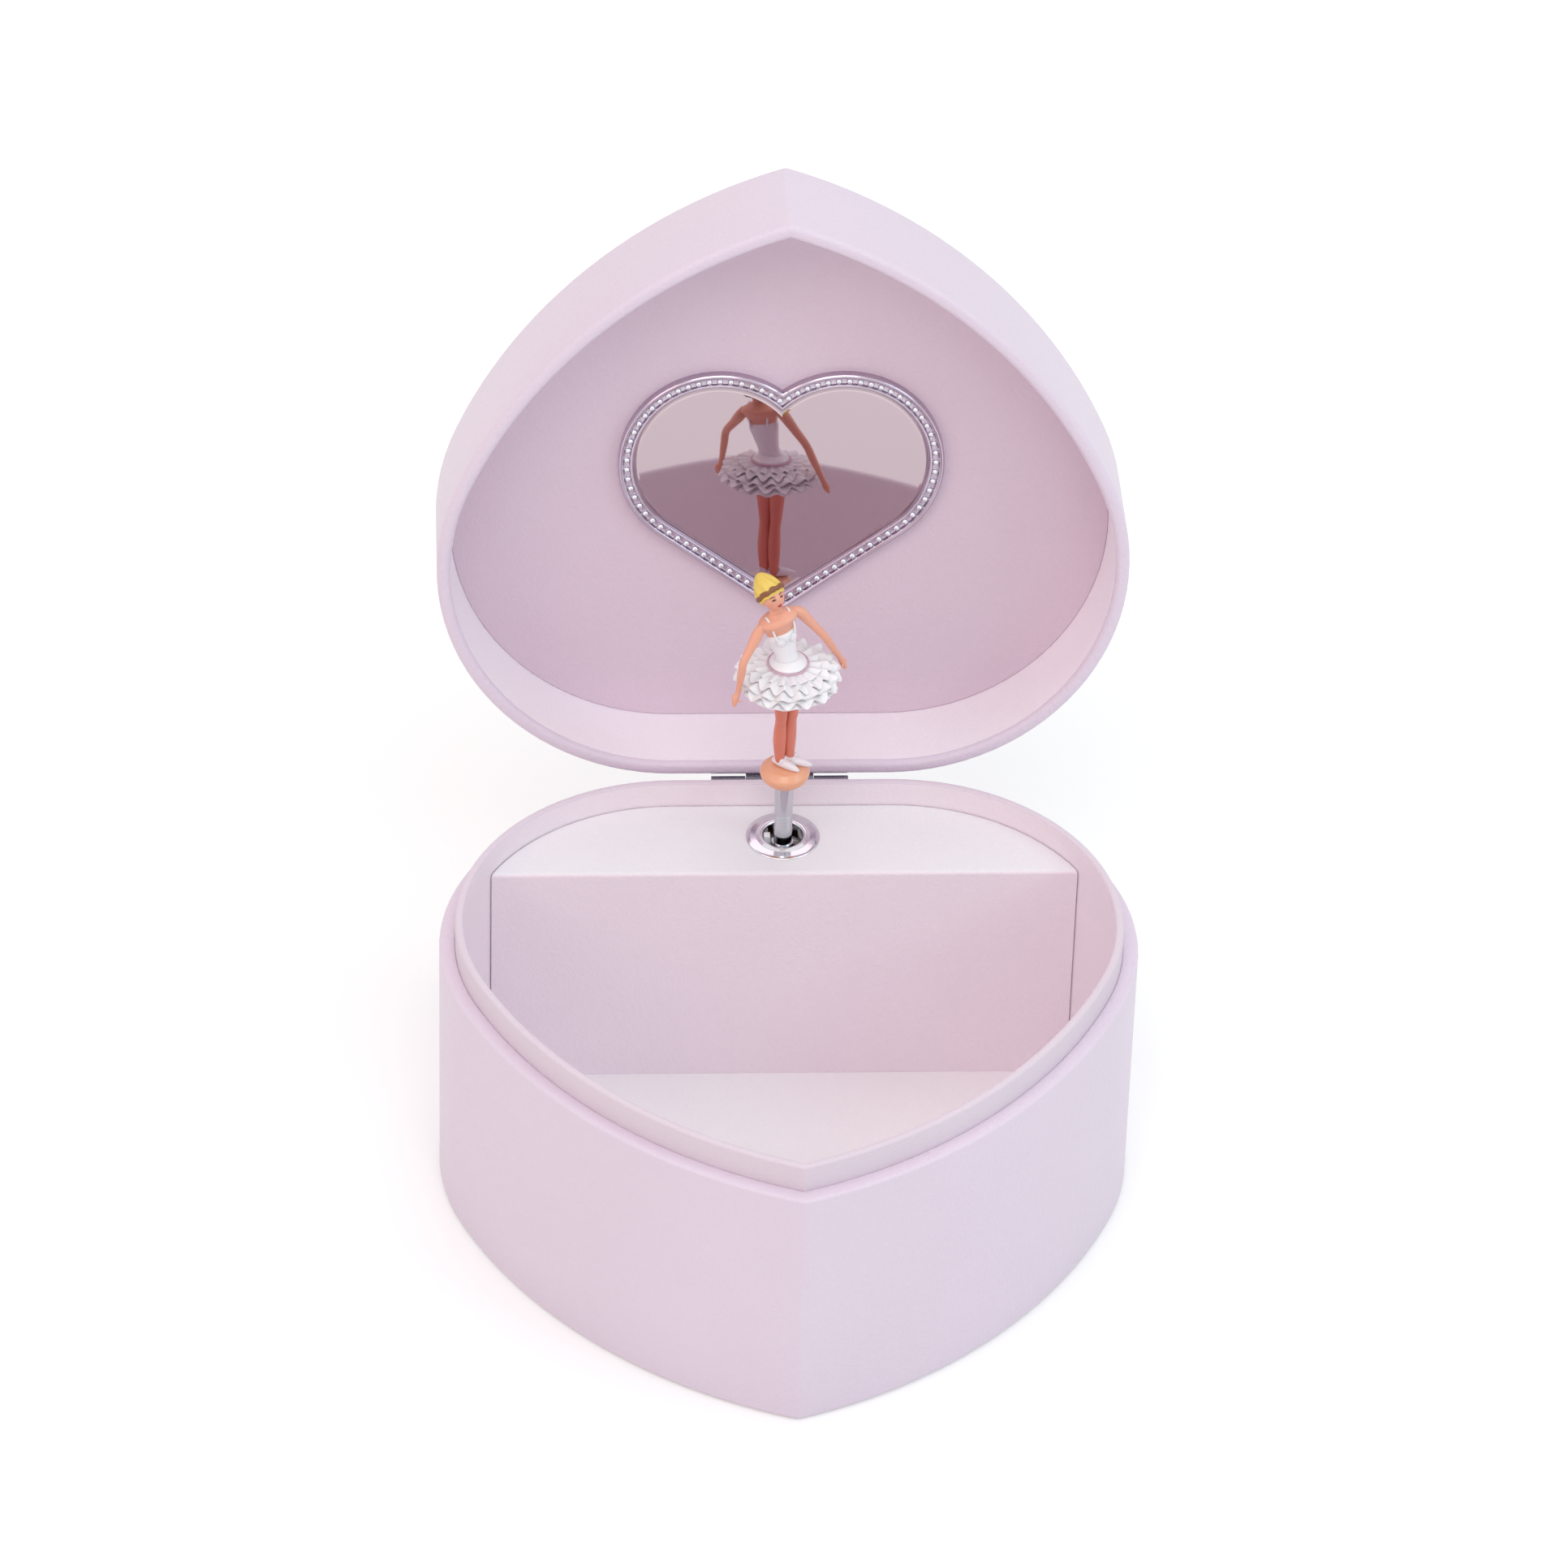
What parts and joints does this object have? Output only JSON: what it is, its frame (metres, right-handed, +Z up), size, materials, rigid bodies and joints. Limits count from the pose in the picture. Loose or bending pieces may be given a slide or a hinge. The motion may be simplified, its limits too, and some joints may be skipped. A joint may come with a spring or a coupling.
{
  "type": "wind up music box",
  "caption": "Hinged trinket music box with a blunt-pointed plan, heart mirror in the lid and a dancing figure that turns with a spring-driven comb movement.",
  "frame": {"origin": "underside of the base, midway between the centres of the two rounded back corners", "axes": "+Z up, +Y towards the hinge at the back, +X to the viewer's right"},
  "size_m": [0.15, 0.1849, 0.1981],
  "materials": {
    "leatherette": "fine-grained imitation leather",
    "lining": "matt leatherette paper",
    "panel": "satin-finished padded card",
    "board": "raw fibreboard",
    "paper": "matt coated paper",
    "grommet": "polished",
    "steel": "plain",
    "comb_steel": "ground",
    "zinc": "as cast",
    "brass": "plain",
    "chrome": "polished",
    "mirror": "silvered acrylic",
    "bead": "glossy",
    "skin": "satin paint",
    "white": "glossy",
    "hair": "satin paint",
    "hat": "satin paint"
  },
  "bodies": {
    "base": {"case_wall": "leatherette", "bottom_board": "board", "base_paper_sheet": "paper", "inner_collar": "lining", "floor_lining": "lining", "cover_top": "lining", "cover_front": "lining", "grommet": "grommet", "hinge_leaf_base": "steel", "hinge_pin": "steel", "hinge_screws_base": "steel", "bedplate": "steel", "bedplate_screws": "steel", "spring_barrel": "brass", "mainspring": "comb_steel", "lower_bearing": "brass", "top_plate": "brass", "governor_plate": "brass", "comb": "comb_steel", "comb_block": "zinc", "comb_screws": "brass", "key_washer": "brass"},
    "lid": {"lid_wall": "leatherette", "lid_top": "leatherette", "lid_lining": "panel", "mirror_frame": "chrome", "mirror_glass": "mirror", "hinge_leaf_lid": "steel", "hinge_screws_lid": "steel"},
    "key": {"winding_arbor": "steel", "winding_key": "brass"},
    "wheel": {"great_wheel": "brass"},
    "drum": {"drum_arbor": "steel", "drum_barrel": "brass", "drum_wheel": "brass", "spindle_hub": "steel"},
    "first": {"first_arbor": "steel", "first_wheel": "brass"},
    "second": {"second_arbor": "steel", "second_wheel": "brass"},
    "fan": {"fan_arbor": "steel", "fan_blades": "brass"},
    "stop": {"stop_plunger": "white"},
    "tilt": {"bend_spring": "steel"},
    "figure": {"figure_post": "steel", "figure_bead": "bead", "slippers": "white", "legs": "skin", "tutu_skirt": "white", "bodice": "white", "shoulders": "skin", "arms": "skin", "head": "skin", "hair": "hair", "hat": "hat"}
  },
  "joints": [
    {"name": "lid_swing", "type": "hinge", "parent": "base", "child": "lid", "pos_m": [0, 0.0535, 0.06215], "axis": [1, 0, 0], "range_deg": [0, 98]},
    {"name": "figure_tilt", "type": "hinge", "parent": "base", "child": "tilt", "pos_m": [0, 0.0351, 0.0663], "axis": [1, 0, 0], "range_deg": [0, 90], "deforming": ["bend_spring"]},
    {"name": "figure_spin", "type": "hinge", "parent": "tilt", "child": "figure", "pos_m": [0, 0.0351, 0.0786], "axis": [0, 0, 1], "continuous": true},
    {"name": "drum_spin", "type": "hinge", "parent": "base", "child": "drum", "pos_m": [0, 0.0351, 0.0456], "axis": [0, 0, 1], "continuous": true},
    {"name": "wheel_spin", "type": "hinge", "parent": "base", "child": "wheel", "pos_m": [0, 0.0386, 0.0204], "axis": [0, 1, 0], "continuous": true},
    {"name": "first_spin", "type": "hinge", "parent": "base", "child": "first", "pos_m": [0.0096, 0.0351, 0.04], "axis": [0, 0, 1], "continuous": true},
    {"name": "second_spin", "type": "hinge", "parent": "base", "child": "second", "pos_m": [0.0188, 0.0351, 0.04], "axis": [0, 0, 1], "continuous": true},
    {"name": "fan_spin", "type": "hinge", "parent": "base", "child": "fan", "pos_m": [0.0268, 0.0351, 0.045], "axis": [0, 0, 1], "continuous": true},
    {"name": "key_turn", "type": "hinge", "parent": "base", "child": "key", "pos_m": [0, 0.06, 0.0204], "axis": [0, 1, 0], "continuous": true},
    {"name": "stop_push", "type": "slide", "parent": "base", "child": "stop", "axis": [0, 0, -1], "range_m": [0, 0.0009]}
  ],
  "couplings": [
    {"joint": "figure_tilt", "follows": "lid_swing", "ratio": 0.91837},
    {"joint": "stop_push", "follows": "lid_swing", "m_per_rad": 0.00052619},
    {"joint": "figure_spin", "follows": "drum_spin", "ratio": 1},
    {"joint": "wheel_spin", "follows": "drum_spin", "ratio": -0.18182},
    {"joint": "first_spin", "follows": "drum_spin", "ratio": -3.8},
    {"joint": "second_spin", "follows": "drum_spin", "ratio": 13.68},
    {"joint": "fan_spin", "follows": "drum_spin", "ratio": -41.04}
  ]
}
